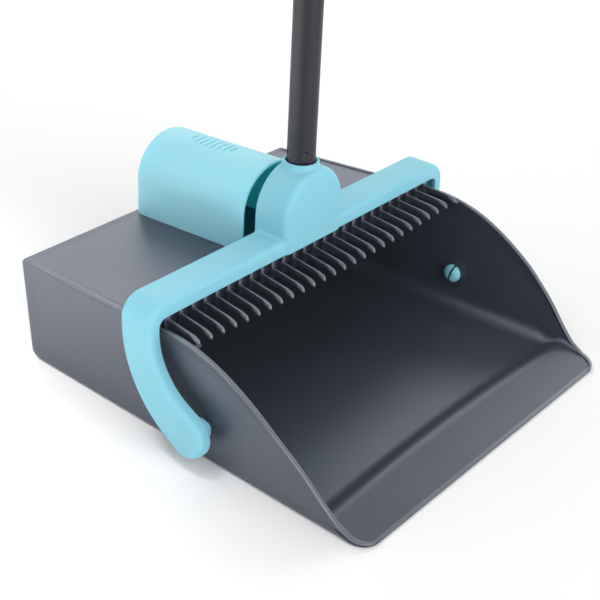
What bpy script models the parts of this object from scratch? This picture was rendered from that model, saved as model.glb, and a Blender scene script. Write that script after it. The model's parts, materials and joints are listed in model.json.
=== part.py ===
# Upright dustpan with a swinging yoke and a sectional steel handle.
# Metres, +Z up.  X runs across the pan, the mouth faces -Y, the bin is at the rear (+Y).
# Origin: middle of the footprint, on the floor.
import math

import bpy
import bmesh
from mathutils import Matrix, Vector

for old in list(bpy.data.objects):
    bpy.data.objects.remove(old, do_unlink=True)

MM = 0.001

# ------------------------------------------------------------------ driving sizes (millimetres)
YSHIFT = 167.6          # the sizes below count y from the rear bottom edge; this centres the footprint

PAN_DEPTH = 340.0       # rear bottom edge to the front lip
REAR_HEIGHT = 88.6      # rear top edge
DECK_RISE = 0.057       # deck climbs toward the mouth
REAR_LEAN = 5.4         # rear wall leans back by this much at its top
REAR_HALF = 150.0       # half width at the rear top edge
RIM_HALF = 164.0        # half width of the mouth at the rim
FOOT_HALF = 149.6       # half width of the bottom at the rear
FOOT_FLARE = 0.020      # bottom widens toward the mouth
WALL = 2.6              # moulded wall thickness
FLOOR = 3.0             # floor thickness
DECK_STEP = 1.2         # rim stands above the deck
DECK_FRONT = -151.0     # front edge of the deck
RIM_START = -143.0      # from here forward the rim follows the mouth's curve
MOUTH_RIM = [(-143, 96.8), (-179, 97.8), (-214, 89.6), (-250, 70.4), (-285, 42.6), (-309, 17.6), (-324, 5.6),
             (-340, 2.2)]
RAMP_FOOT, CREST, LIP = (-292.5, FLOOR), (-305.5, 9.5), (-341.0, 1.2)     # floor line of the mouth
CREST_BOW = 4.9         # the crest is further back in the middle of the pan
CORNER_R = 14.0         # plan radius of the two lip corners

COMB_REAR, COMB_FRONT = -149.5, -157.5      # upstand along the deck's front edge, under the crossbar
COMB_HALF, COMB_TOP = 157.2, 105.2
COMB_SAG_ROOT, COMB_SAG_TIP = 3.5, 5.2      # the comb is lower in the middle of the pan
NOTCH_BACK, NOTCH_WIDTH = -152.9, 9.2       # notches in the upstand leave a pillar at each tooth
TEETH = 26
TEETH_ROOT_HALF, TEETH_TIP_HALF = 153.5, 155.5      # the teeth fan out a little
TOOTH_R = 1.6
TOOTH_RIDGE = [(-155.0, 103.6, 0.9), (-158.5, 102.9, 0.9), (-162.0, 102.2, 0.85), (-170.0, 101.7, 0.85),
               (-178.0, 101.1, 0.9), (-184.0, 100.2, 1.0), (-187.3, 98.9, 1.0), (-189.0, 97.2, 0.85)]
TOOTH_WEB = (-190.2, -187.0, 93.6, 96.0)    # ties the last tooth to the rim: front, rear, bottom, top

PIN_Y, PIN_Z = -196.3, 32.0
BOSS_R = 9.5            # pivot boss between arm and pan
YOKE_HALF = 175.6
YOKE_T = 10.0           # arm thickness across
BAR_TOP, BAR_BOTTOM = 118.9, 106.7
BAR_REAR, BAR_FRONT = -131.4, -161.0
ARM_END = (-192.2, 29.3, 17.6)            # round end of the arm: centre y, centre z, radius
ARM_REAR_ARC = (-221.8, 97.0, 90.4)
ARM_FRONT_ARC = (-213.3, 97.0, 52.1)
ARM_WALL = 3.2

HUB_HALF_FRONT, HUB_HALF_REAR = 34.0, 36.2
HUB_TOP = 167.0
TUBE_Y = -145.0
TUBE_OD, TUBE_WALL = 22.0, 0.8
COLLAR_TOP = 170.5
SOCKET_FLOOR = 124.0

HOOD_REAR, HOOD_FRONT = -2.2, -119.0
HOOD_HALF = 35.4
HOOD_RISE = 65.5        # crown above the deck
HOOD_WALL = 2.6
GROOVES, GROOVE_FIRST, GROOVE_STEP, GROOVE_HALF = 8, -36.0, 6.0, 8.5

LOW_TUBE = (126.5, 376.0)
MID_TUBE = (390.0, 634.0)
TOP_TUBE = (648.0, 842.0)
GRIP = (742.0, 880.0)


# ------------------------------------------------------------------ helpers
def P(x, y, z):
    return Vector((x * MM, (y + YSHIFT) * MM, z * MM))


def through(points, v):
    """Smooth curve through (position, value) points, as a cubic between each two."""
    pts = sorted(points)
    slopes = []
    for i in range(len(pts)):
        a, b = pts[max(i - 1, 0)], pts[min(i + 1, len(pts) - 1)]
        slopes.append((b[1] - a[1]) / (b[0] - a[0]))
    v = min(max(v, pts[0][0]), pts[-1][0])
    i = max(k for k in range(len(pts) - 1) if pts[k][0] <= v)
    (x0, y0), (x1, y1) = pts[i], pts[i + 1]
    h = x1 - x0
    t = (v - x0) / h
    return (y0 * (1 + 2 * t) * (1 - t) ** 2 + y1 * t * t * (3 - 2 * t)
            + h * slopes[i] * t * (1 - t) ** 2 - h * slopes[i + 1] * t * t * (1 - t))


def arc(centre_u, centre_v, radius, start, end, steps):
    """Points along a circle, angles in degrees."""
    return [(centre_u + radius * math.cos(math.radians(start + (end - start) * i / steps)),
             centre_v + radius * math.sin(math.radians(start + (end - start) * i / steps)))
            for i in range(steps + 1)]


main = bpy.data.collections.new("upright_dustpan")
cuts = bpy.data.collections.new("cutters")
bpy.context.scene.collection.children.link(main)
bpy.context.scene.collection.children.link(cuts)


def material(name, color, rough, metal=0.0):
    m = bpy.data.materials.new(name)
    m.use_nodes = True
    b = m.node_tree.nodes["Principled BSDF"]
    b.inputs["Base Color"].default_value = (*color, 1.0)
    b.inputs["Roughness"].default_value = rough
    b.inputs["Metallic"].default_value = metal
    m.diffuse_color = (*color, 1.0)
    return m


def mesh_object(name, bm, where=main, mat=None, origin=None, smooth=35.0):
    bmesh.ops.recalc_face_normals(bm, faces=bm.faces)
    me = bpy.data.meshes.new(name)
    bm.to_mesh(me)
    bm.free()
    ob = bpy.data.objects.new(name, me)
    where.objects.link(ob)
    if mat:
        me.materials.append(mat)
    if origin is not None:
        for v in me.vertices:
            v.co -= origin
        ob.location = origin
    if where is cuts:
        ob.hide_render = True
        ob.display_type = "WIRE"
    else:
        me.shade_smooth()
        me.set_sharp_from_angle(angle=math.radians(smooth))
    return ob


def loft(bm, rings, close=True):
    rows = [[bm.verts.new(p) for p in ring] for ring in rings]
    n = len(rows[0])
    for a, b in zip(rows, rows[1:]):
        for i in range(n):
            j = (i + 1) % n
            bm.faces.new((a[i], a[j], b[j], b[i]))
    if close:
        bm.faces.new(rows[0])
        bm.faces.new(list(reversed(rows[-1])))
    return rows


def stamp(bm, ob):
    """Adds an object's evaluated mesh, in world space, to bm and removes the object."""
    bpy.context.view_layer.update()
    shown = ob.evaluated_get(bpy.context.evaluated_depsgraph_get())
    me = bpy.data.meshes.new_from_object(shown)
    me.transform(ob.matrix_world)
    piece = bmesh.new()
    piece.from_mesh(me)
    bmesh.ops.remove_doubles(piece, verts=piece.verts, dist=0.000002)
    bmesh.ops.recalc_face_normals(piece, faces=piece.faces)
    piece.to_mesh(me)
    piece.free()
    bm.from_mesh(me)
    bpy.data.objects.remove(ob, do_unlink=True)
    bpy.data.meshes.remove(me)


FRAMES = {
    "x": Matrix(((0, 0, 1, 0), (1, 0, 0, 0), (0, 1, 0, 0), (0, 0, 0, 1))),
    "y": Matrix(((1, 0, 0, 0), (0, 0, -1, 0), (0, 1, 0, 0), (0, 0, 0, 1))),
    "z": Matrix.Identity(4),
}


def prism(bm, outline, axis, lo, hi):
    """Flat outline as a filled 2-D curve, extruded along an axis from lo to hi.

    The outline holds (y, z) pairs for x, (x, z) pairs for y and (x, y) pairs for z.
    """
    curve = bpy.data.curves.new("outline", "CURVE")
    curve.dimensions = "2D"
    curve.fill_mode = "BOTH"
    curve.extrude = abs(hi - lo) * MM / 2
    line = curve.splines.new("POLY")
    line.points.add(len(outline) - 1)
    for point, (u, v) in zip(line.points, outline):
        point.co = (u * MM, v * MM, 0.0, 1.0)
    line.use_cyclic_u = True
    ob = bpy.data.objects.new("outline", curve)
    bpy.context.scene.collection.objects.link(ob)
    middle = (lo + hi) / 2 * MM
    shift = {"x": (middle, YSHIFT * MM, 0.0), "y": (0.0, middle + YSHIFT * MM, 0.0),
             "z": (0.0, YSHIFT * MM, middle)}[axis]
    ob.matrix_world = Matrix.Translation(shift) @ FRAMES[axis]
    stamp(bm, ob)


def box(bm, x0, x1, y0, y1, z0, z1):
    centre = P((x0 + x1) / 2, (y0 + y1) / 2, (z0 + z1) / 2)
    size = Matrix.Diagonal(((x1 - x0) * MM, (y1 - y0) * MM, (z1 - z0) * MM, 1.0))
    bmesh.ops.create_cube(bm, size=1.0, matrix=Matrix.Translation(centre) @ size)


def rod(bm, centre, axis, radius, length, segments=24, tip=None):
    """Cylinder or cone about the given axis; tip is the radius at its far end."""
    turn = Vector(axis).to_track_quat("Z", "Y").to_matrix().to_4x4()
    bmesh.ops.create_cone(bm, cap_ends=True, segments=segments, radius1=radius * MM,
                          radius2=(radius if tip is None else tip) * MM, depth=length * MM,
                          matrix=Matrix.Translation(centre) @ turn)


def profile_object(name, rows, ring, steps):
    """(radius, height) profile with a Screw modifier; it runs down its outer side."""
    me = bpy.data.meshes.new(name)
    verts = [(r * MM, 0.0, h * MM) for r, h in rows]
    edges = [(i, i + 1) for i in range(len(rows) - 1)]
    if ring:
        edges.append((len(rows) - 1, 0))
    me.from_pydata(verts, edges, [])
    ob = bpy.data.objects.new(name, me)
    screw = ob.modifiers.new("turn", "SCREW")
    screw.axis = "Z"
    screw.steps = steps
    screw.render_steps = steps
    screw.use_merge_vertices = True
    screw.merge_threshold = 0.00001
    return ob


def turned(name, rows, ring=False, where=None, mat=None, steps=32):
    """Turned piece about the handle's axis."""
    ob = profile_object(name, rows, ring, steps)
    ob.location = P(0.0, TUBE_Y, 0.0)
    (where or main).objects.link(ob)
    if mat:
        ob.data.materials.append(mat)
    if where is cuts:
        ob.hide_render = True
        ob.display_type = "WIRE"
    return ob


def turn_x(bm, rows, side, steps=32):
    """Turned boss about the pin axis; rows run (radius, distance from the middle plane)."""
    ob = profile_object("turned", rows, False, steps)
    bpy.context.scene.collection.objects.link(ob)
    ob.rotation_euler = (0.0, side * math.pi / 2, 0.0)
    ob.location = P(0.0, PIN_Y, PIN_Z)
    stamp(bm, ob)


def circle(cx, cy, r, n, start=0.0):
    return [(cx + r * math.cos(start + 2 * math.pi * i / n), cy + r * math.sin(start + 2 * math.pi * i / n))
            for i in range(n)]


def boolean(ob, tool, op="DIFFERENCE"):
    mod = ob.modifiers.new(op.lower() + "_" + tool.name, "BOOLEAN")
    mod.operation = op
    mod.solver = "EXACT"
    mod.object = tool
    return mod


GREY = material("pan_grey_polypropylene", (0.135, 0.138, 0.155), 0.42)
AQUA_YOKE = material("yoke_aqua_polypropylene", (0.29, 0.66, 0.79), 0.40)
AQUA_HOOD = material("hood_aqua_polypropylene", (0.29, 0.66, 0.79), 0.40)
AQUA_GRIP = material("grip_aqua_polypropylene", (0.29, 0.66, 0.79), 0.45)


# ------------------------------------------------------------------ pan
def rim_half(y):
    t = min(max(-y / 230.0, 0.0), 1.0)
    return REAR_HALF + (RIM_HALF - REAR_HALF) * (1.0 - (1.0 - t) ** 1.6)


def foot_half(y):
    return FOOT_HALF + FOOT_FLARE * (-y)


def rim_z(y):
    if y >= RIM_START:
        return REAR_HEIGHT + DECK_RISE * (-y)
    return through(MOUTH_RIM, y)


def floor_z(y):
    """Flat bin floor, a rise to the crest and a straight lip down to the front edge."""
    if y >= RAMP_FOOT[0]:
        return RAMP_FOOT[1]
    if y >= CREST[0]:
        t = (RAMP_FOOT[0] - y) / (RAMP_FOOT[0] - CREST[0])
        return RAMP_FOOT[1] + (CREST[1] - RAMP_FOOT[1]) * t
    t = (CREST[0] - y) / (CREST[0] - LIP[0])
    return CREST[1] + (LIP[1] - CREST[1]) * max(t, 0.0)


def deck_z(y):
    return REAR_HEIGHT + DECK_RISE * (-y) - DECK_STEP


def corner_cut(y, r):
    """How far a plan corner of radius r pulls the side wall in near the lip."""
    d = y + PAN_DEPTH
    if d >= r:
        return 0.0
    return r - math.sqrt(max(r * r - (r - d) ** 2, 0.0))


def side_x(y, z):
    top = max(rim_z(y), 60.0)
    t = min(max(z / top, 0.0), 1.0)
    return foot_half(y) + (rim_half(y) - foot_half(y)) * (t ** 0.9)


def lean(y, z):
    return REAR_LEAN * (z / REAR_HEIGHT) * max(0.0, 1.0 + y / 70.0)


def section(y, z0, z1, inset, rb, rt, cut=0.0, nb=5, nt=3):
    """Ring of points (x, y, z): trapezoid with rounded bottom and top corners."""
    half = []
    zb = z0
    rb = min(rb, (z1 - z0) * 0.45)
    rt = min(rt, (z1 - z0) * 0.45)
    for i in range(nb + 1):
        a = -math.pi / 2 + (math.pi / 2) * i / nb
        z = zb + rb + rb * math.sin(a)
        x = side_x(y, z) - inset - cut - rb + rb * math.cos(a)
        half.append((x, z))
    for i in range(nt + 1):
        a = (math.pi / 2) * i / nt
        z = z1 - rt + rt * math.sin(a)
        x = side_x(y, z) - inset - cut - rt + rt * math.cos(a)
        half.append((x, z))
    ring = [(x, z) for x, z in half] + [(-x, z) for x, z in reversed(half)]
    return [(x, y, z) for x, z in ring]


def rear_round(y, r):
    d = -y
    if d >= r:
        return 0.0
    return r - math.sqrt(max(r * r - (r - d) ** 2, 0.0))


bm = bmesh.new()
rings = []
for y in (0, -0.7, -2, -4, -6.5, -9, -12, -30, -60, -90, -120, -143, -155, -167, -179, -191, -203, -214,
          -226, -238, -250, -262, -273, -285, -297, -306, -314, -318, -321, -325, -329, -332.5, -335.5,
          -338, -339.4, -340):
    z0 = rear_round(y, 9.0)
    z1 = rim_z(y) - rear_round(y, 11.0)
    cut = corner_cut(y, CORNER_R) + 0.45 * rear_round(y, 9.0)
    ring = section(y, z0, z1, 0.0, 4.0, 1.2, cut)
    rings.append([P(x, yy + lean(yy, z), z) for x, yy, z in ring])
loft(bm, rings)
pan = mesh_object("pan_body", bm, main, GREY)

# bin and mouth hollow, one cutter
bm = bmesh.new()
rings = []


def crest_warp(x, y):
    if y > -240.0 or y < -338.0:
        return 0.0
    k = min(1.0, (-y - 240.0) / 45.0) * min(1.0, (y + 338.0) / 12.0)
    return CREST_BOW * k * max(0.0, 1.0 - (x / 152.0) ** 2)


for y in (-2.6, -3.4, -5, -8, -12, -30, -60, -90, -120, DECK_FRONT + 0.1, DECK_FRONT - 0.1, -165, -179,
          -203, -226, -250, -262, -273, -280, -285, -289, -292.5, -297, -301, -305.5, -310, -316,
          -322, -328, -334, -337.5, -341.0, -360.0):
    z0 = floor_z(y) + rear_round(y + 2.6, 7.0)
    if y > DECK_FRONT:
        z1 = deck_z(y) - WALL - rear_round(y + 2.6, 8.0)
    else:
        z1 = 150.0
    cut = corner_cut(max(y, -340.0), CORNER_R) if y < -310 else 0.45 * rear_round(y + 2.6, 6.0)
    if y < -330:
        cut = min(cut, 9.0) if y > -338 else -30.0
    fil = 13.0 if y > -280 else max(3.0, 13.0 - (-y - 280.0) * 0.28)
    inset = WALL
    ring = section(y, z0, z1, inset, fil, 2.0 if y > DECK_FRONT else 0.5, cut, nb=6)
    rings.append([P(x, yy + lean(yy, z) + crest_warp(x, yy), z) for x, yy, z in ring])
loft(bm, rings)
hollow = mesh_object("cut_bin_and_mouth", bm, cuts)
boolean(pan, hollow)

# deck sits a little below the rim
bm = bmesh.new()
rings = []
for y in (-9.0, -60, -120, DECK_FRONT - 4.0):
    w = rim_half(y) - 3.2
    z0 = deck_z(y)
    z1 = z0 + 20
    rings.append([P(x, y, z) for x, z in ((-w, z0), (w, z0), (w, z1), (-w, z1))])
loft(bm, rings)
step = mesh_object("cut_deck_step", bm, cuts)
boolean(pan, step)

# seat of the hood at the rear edge of the deck
bm = bmesh.new()
loft(bm, [[P(x, y, z) for x, z in ((-35.9, deck_z(y)), (35.9, deck_z(y)), (35.9, 110.0), (-35.9, 110.0))]
          for y in (-2.0, -12.0)])
seat = mesh_object("cut_hood_seat", bm, cuts)
boolean(pan, seat)

# underside of the ramp is hollowed to keep an even wall
bm = bmesh.new()
under = [(-291, -1.0), (-331, -1.0), (-331, 0.7), (-310, 6.4), (-305.5, 6.9), (-302, 6.0), (-297, 3.6),
         (-291, 0.9)]
for x0, x1 in ((-139, -71), (-68, -2), (2, 68), (71, 139)):
    prism(bm, under, "x", x0, x1)
ramp = mesh_object("cut_ramp_underside", bm, cuts)
boolean(pan, ramp)

# pin holes and hood slots
bm = bmesh.new()
for s in (-1, 1):
    prism(bm, circle(PIN_Y, PIN_Z, 5.6, 32), "x", s * 140.0, s * 180.0)
pin_holes = mesh_object("cut_pin_holes", bm, cuts)
boolean(pan, pin_holes)

TAB_Y = (-22.0, -98.0)
bm = bmesh.new()
for s in (-1, 1):
    for ty in TAB_Y:
        x = s * (HOOD_HALF - 1.7)
        box(bm, x - 1.7, x + 1.7, ty - 5.2, ty + 5.2, 60.0, 110.0)
slots = mesh_object("cut_hood_slots", bm, cuts)
boolean(pan, slots)

# comb: an upstand with a notch between each two teeth, and round-backed ribs that droop at their tips
def comb_reach(y):
    """How far along its teeth a station is, from root 0 to tip 1."""
    return min(max((COMB_FRONT - y) / (COMB_FRONT - TOOTH_RIDGE[-1][0]), 0.0), 1.0)


def tooth_x(i, y):
    half = TEETH_ROOT_HALF + (TEETH_TIP_HALF - TEETH_ROOT_HALF) * comb_reach(y)
    return half * (2.0 * i / (TEETH - 1) - 1.0)


def comb_sag(x, y):
    deepest = COMB_SAG_ROOT + (COMB_SAG_TIP - COMB_SAG_ROOT) * comb_reach(y)
    return deepest * (1.0 - (x / TEETH_TIP_HALF) ** 2)


bm = bmesh.new()
box(bm, -COMB_HALF, COMB_HALF, COMB_FRONT, COMB_REAR, deck_z(DECK_FRONT) - WALL, COMB_TOP)
upstand = mesh_object("add_comb_upstand", bm, cuts)
bm = bmesh.new()
for i in range(TEETH - 1):
    x = (tooth_x(i, COMB_FRONT) + tooth_x(i + 1, COMB_FRONT)) / 2.0
    box(bm, x - NOTCH_WIDTH / 2, x + NOTCH_WIDTH / 2, COMB_FRONT - 5.0, NOTCH_BACK, 85.0, 110.0)
notches = mesh_object("cut_comb_notches", bm, cuts)
boolean(upstand, notches)
boolean(pan, upstand, "UNION")

curve = bpy.data.curves.new("comb", "CURVE")
curve.dimensions = "3D"
curve.bevel_depth = TOOTH_R * MM
curve.bevel_resolution = 1
curve.use_fill_caps = True
for i in range(TEETH):
    line = curve.splines.new("POLY")
    line.points.add(len(TOOTH_RIDGE) - 1)
    for point, (y, ridge, scale) in zip(line.points, TOOTH_RIDGE):
        x = tooth_x(i, y)
        point.co = (*P(x, y, ridge - TOOTH_R * scale - comb_sag(x, y)), 1.0)
        point.radius = scale
comb = bpy.data.objects.new("comb", curve)
main.objects.link(comb)
bm = bmesh.new()
stamp(bm, comb)
teeth = mesh_object("add_comb_teeth", bm, cuts)
boolean(pan, teeth, "UNION")

bm = bmesh.new()
for s in (-1, 1):
    near, far = sorted((s * TEETH_TIP_HALF, s * (TEETH_TIP_HALF + 5.8)))
    box(bm, near, far, *TOOTH_WEB)
webs = mesh_object("add_comb_webs", bm, cuts)
boolean(pan, webs, "UNION")


# ------------------------------------------------------------------ yoke: crossbar, arms, hub and split pins
pivot = bpy.data.objects.new("handle_pivot", None)
main.objects.link(pivot)
pivot.location = P(0.0, PIN_Y, PIN_Z)


def ride(ob):
    """Parents a piece to the pivot without moving it."""
    bpy.context.view_layer.update()
    ob.parent = pivot
    ob.matrix_parent_inverse = pivot.matrix_world.inverted()
    return ob


def rounded_rect(x0, x1, z0, z1, r_top, n=8):
    pts = [(x1, z0)]
    for i in range(n + 1):
        a = (math.pi / 2) * i / n
        pts.append((x1 - r_top + r_top * math.cos(a), z1 - r_top + r_top * math.sin(a)))
    for i in range(n + 1):
        a = math.pi / 2 + (math.pi / 2) * i / n
        pts.append((x0 + r_top + r_top * math.cos(a), z1 - r_top + r_top * math.sin(a)))
    pts.append((x0, z0))
    return pts


def arm_outline():
    """Side view of the yoke: two arcs that sweep forward to a round end at the pin."""
    return ([(BAR_REAR, BAR_TOP)] + arc(*ARM_REAR_ARC, 0, -60, 8) + arc(*ARM_END, -55, -242, 13)
            + arc(*ARM_FRONT_ARC, -62, 0, 9) + [(BAR_FRONT, BAR_TOP)])


def arm_pocket():
    """The hollow between the arm's flanges, open toward the pan, short of the pivot boss."""
    ry, rz, rr = ARM_REAR_ARC
    fy, fz, fr = ARM_FRONT_ARC
    return ([(BAR_REAR - ARM_WALL, 103.0)] + arc(ry, rz, rr - ARM_WALL, 0, -51, 7)
            + arc(PIN_Y, PIN_Z, 19.8, -8, 44, 3) + arc(fy, fz, fr + ARM_WALL, -51, 0, 6)
            + [(BAR_FRONT + ARM_WALL, 103.0)])


bm = bmesh.new()
prism(bm, rounded_rect(-YOKE_HALF, YOKE_HALF, 5.0, BAR_TOP, 17.5, 6), "y", -240.0, -110.0)
yoke = mesh_object("yoke", bm, main, AQUA_YOKE, origin=P(0.0, PIN_Y, PIN_Z))

bm = bmesh.new()
prism(bm, rounded_rect(-YOKE_HALF + YOKE_T, YOKE_HALF - YOKE_T, 0.0, BAR_BOTTOM, 6.5, 4), "y", -250.0,
      -100.0)
opening = mesh_object("cut_yoke_opening", bm, cuts)
boolean(yoke, opening)

bm = bmesh.new()
prism(bm, arm_outline(), "x", -190.0, 190.0)
side = mesh_object("keep_yoke_side", bm, cuts)
boolean(yoke, side, "INTERSECT")

bev = yoke.modifiers.new("soft_edges", "BEVEL")
bev.width = 2.0 * MM
bev.segments = 1
bev.limit_method = "ANGLE"
bev.angle_limit = math.radians(60)


def arch(half, base, top, n=14, inset=0.0):
    r = half - inset
    spring = top - half
    pts = [(r, base)]
    for i in range(n + 1):
        a = math.pi * i / n
        pts.append((r * math.cos(a), spring + r * math.sin(a)))
    pts.append((-r, base))
    return pts


bm = bmesh.new()
loft(bm, [[P(x, y, z) for x, z in arch(half, BAR_BOTTOM - 0.4, top)] for y, half, top in (
    (BAR_REAR + 0.2, HUB_HALF_REAR - 1.2, HUB_TOP - 1.2), (BAR_REAR - 1.2, HUB_HALF_REAR, HUB_TOP),
    (BAR_FRONT + 1.4, HUB_HALF_FRONT + 0.2, HUB_TOP),
    (BAR_FRONT - 0.6, HUB_HALF_FRONT - 1.6, HUB_TOP - 1.8))])
hub = mesh_object("add_hub", bm, cuts)
boolean(yoke, hub, "UNION")

collar = turned("add_collar", [(0.0, COLLAR_TOP), (13.2, COLLAR_TOP), (13.8, 169.6), (14.1, 166.5),
                               (14.6, 163.0), (14.6, 156.0), (0.0, 156.0)], where=cuts)
boolean(yoke, collar, "UNION")

# hub and crossbar are hollow from below
bm = bmesh.new()
prism(bm, arch(HUB_HALF_FRONT - 2.8, 100.0, HUB_TOP - 2.8), "y", BAR_FRONT + 2.6, BAR_REAR - 2.8)
hub_hollow = mesh_object("cut_hub_hollow", bm, cuts)
boolean(yoke, hub_hollow)

bm = bmesh.new()
for s in (-1, 1):
    for k in range(4):
        x0 = s * (37.0 + k * 31.0)
        x1 = s * (37.0 + k * 31.0 + 28.6)
        box(bm, min(x0, x1), max(x0, x1), BAR_FRONT + 3.0, BAR_REAR - 3.0, 100.0, BAR_TOP - 2.8)
bar_hollow = mesh_object("cut_bar_cells", bm, cuts)
boolean(yoke, bar_hollow)

bm = bmesh.new()
rod(bm, P(0.0, TUBE_Y, (SOCKET_FLOOR - 2.5 + HUB_TOP - 4.0) / 2), (0, 0, 1), 14.0,
    HUB_TOP - 4.0 - SOCKET_FLOOR + 2.5, 32)
sleeve = mesh_object("add_socket_sleeve", bm, cuts)
boolean(yoke, sleeve, "UNION")

# rest stop: a rib that stands on the deck when the handle is upright
bm = bmesh.new()
box(bm, -9.0, 9.0, -134.6, -132.0, 95.4, 122.0)
stop = mesh_object("add_stop_rib", bm, cuts)
boolean(yoke, stop, "UNION")

BORE = TUBE_OD / 2 + 0.35
bore = turned("cut_socket_bore", [(0.0, COLLAR_TOP + 6.0), (BORE + 0.6, COLLAR_TOP + 6.0),
                                  (BORE + 0.6, COLLAR_TOP + 0.3), (BORE, 169.4), (BORE, SOCKET_FLOOR),
                                  (5.4, SOCKET_FLOOR), (5.4, SOCKET_FLOOR - 6.0),
                                  (0.0, SOCKET_FLOOR - 6.0)], where=cuts)
boolean(yoke, bore)

# arm pockets, open toward the pan
bm = bmesh.new()
for s in (-1, 1):
    a = s * (YOKE_HALF - YOKE_T - 1.0)
    b = s * (YOKE_HALF - 3.2)
    prism(bm, arm_pocket(), "x", min(a, b), max(a, b))
arm_pockets = mesh_object("cut_arm_pockets", bm, cuts)
boolean(yoke, arm_pockets)

# pivot bosses and split pins
WALL_X = side_x(PIN_Y, PIN_Z)
INSIDE = WALL_X - WALL - 1.4
bm = bmesh.new()
for s in (-1, 1):
    turn_x(bm, [(0.0, YOKE_HALF - 4.0), (BOSS_R, YOKE_HALF - 4.0), (BOSS_R, WALL_X + 2.9),
                (BOSS_R - 0.8, WALL_X + 2.1), (0.0, WALL_X + 2.1)], s, 28)
bosses = mesh_object("add_pivot_bosses", bm, cuts)
boolean(yoke, bosses, "UNION")

bm = bmesh.new()
for s in (-1, 1):
    turn_x(bm, [(0.0, WALL_X + 3.5), (5.1, WALL_X + 3.5), (5.1, INSIDE), (7.9, INSIDE - 0.4),
                (7.9, INSIDE - 2.2), (7.0, INSIDE - 4.0), (4.8, INSIDE - 5.6), (3.4, INSIDE - 6.1),
                (0.0, INSIDE - 6.1)], s, 24)
pins = mesh_object("add_split_pins", bm, cuts)
boolean(yoke, pins, "UNION")

bm = bmesh.new()
tilt = math.radians(15.0)
for s in (-1, 1):
    slot = Matrix.Translation(P(s * (WALL_X - 7.8), PIN_Y, PIN_Z)) @ Matrix.Rotation(tilt, 4, "X")
    bmesh.ops.create_cube(bm, size=1.0, matrix=slot @ Matrix.Diagonal((16.4 * MM, 2.7 * MM, 24.0 * MM, 1.0)))
slit = mesh_object("cut_pin_slots", bm, cuts)
boolean(yoke, slit)
ride(yoke)


# ------------------------------------------------------------------ hood on the deck
def hood_ring(y, shrink=0.0, drop=0.0):
    base = deck_z(y) + 0.3 - drop
    return [P(x, y, z) for x, z in arch(HOOD_HALF, base, deck_z(y) + HOOD_RISE - shrink, 16, shrink)]


bm = bmesh.new()
loft(bm, [hood_ring(HOOD_REAR, 5.0), hood_ring(HOOD_REAR - 0.8, 2.6), hood_ring(HOOD_REAR - 2.4, 0.9),
          hood_ring(HOOD_REAR - 5.0), hood_ring(HOOD_FRONT + 1.2), hood_ring(HOOD_FRONT, 0.7)])
hood = mesh_object("rear_hood", bm, main, AQUA_HOOD)

bm = bmesh.new()
loft(bm, [hood_ring(HOOD_REAR - 3.0, 5.2, 6.0), hood_ring(HOOD_REAR - 4.6, 3.2, 6.0),
          hood_ring(HOOD_REAR - 8.0, HOOD_WALL, 6.0), hood_ring(HOOD_FRONT - 4.0, HOOD_WALL, 6.0)])
hood_cut = mesh_object("cut_hood_hollow", bm, cuts)
boolean(hood, hood_cut)

bm = bmesh.new()
for k in range(GROOVES):
    y = GROOVE_FIRST - GROOVE_STEP * k
    half = GROOVE_HALF * math.sqrt(max(0.12, 1.0 - ((k - (GROOVES - 1) / 2.0) / (GROOVES / 2.0)) ** 2))
    crown = deck_z(y) + HOOD_RISE
    row = []
    for i in range(7):
        x = -half + 2 * half * i / 6
        row.append((x, crown - HOOD_HALF + math.sqrt(HOOD_HALF ** 2 - x ** 2)))
    strip = [(x, z - 1.0) for x, z in row] + [(x, z + 4.0) for x, z in reversed(row)]
    prism(bm, strip, "y", y - 1.0, y + 1.0)
grooves = mesh_object("cut_hood_grooves", bm, cuts)
boolean(hood, grooves)

bm = bmesh.new()
for s in (-1, 1):
    for ty in TAB_Y:
        x = s * (HOOD_HALF - 1.7)
        low = deck_z(ty) - WALL - 4.2
        box(bm, x - 1.15, x + 1.15, ty - 4.6, ty + 4.6, low, deck_z(ty) + 9.0)
legs = mesh_object("add_hood_tabs", bm, cuts)
boolean(hood, legs, "UNION")

bm = bmesh.new()
for s in (-1, 1):
    for ty in TAB_Y:
        x = s * (HOOD_HALF - 1.7)
        low = deck_z(ty) - WALL - 4.2
        hook = [(x - s * 1.0, low - 0.4), (x + s * 1.3, low - 0.4), (x + s * 3.0, low + 2.2),
                (x + s * 3.0, low + 3.2), (x - s * 1.0, low + 3.2)]
        prism(bm, hook, "y", ty - 4.2, ty + 4.2)
hooks = mesh_object("add_hood_hooks", bm, cuts)
boolean(hood, hooks, "UNION")


# ------------------------------------------------------------------ handle
RO = TUBE_OD / 2
RI = RO - TUBE_WALL
STEEL_A = material("lower_tube_painted_steel", (0.12, 0.12, 0.135), 0.36, 0.25)
STEEL_B = material("middle_tube_painted_steel", (0.12, 0.12, 0.135), 0.36, 0.25)
STEEL_C = material("upper_tube_painted_steel", (0.12, 0.12, 0.135), 0.36, 0.25)
PLUG = material("tube_plug_grey_nylon", (0.05, 0.05, 0.056), 0.55)
JOIN_A = material("lower_coupler_grey_nylon", (0.06, 0.06, 0.068), 0.5)
JOIN_B = material("upper_coupler_grey_nylon", (0.06, 0.06, 0.068), 0.5)


def tube(name, lo, hi, mat):
    rows = [(RI, hi), (RO - 0.2, hi), (RO, hi - 0.3), (RO, lo + 0.3), (RO - 0.2, lo), (RI, lo)]
    return ride(turned(name, rows, True, main, mat))


lower = tube("lower_tube", *LOW_TUBE, STEEL_A)
tube("middle_tube", *MID_TUBE, STEEL_B)
tube("upper_tube", *TOP_TUBE, STEEL_C)

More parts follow.
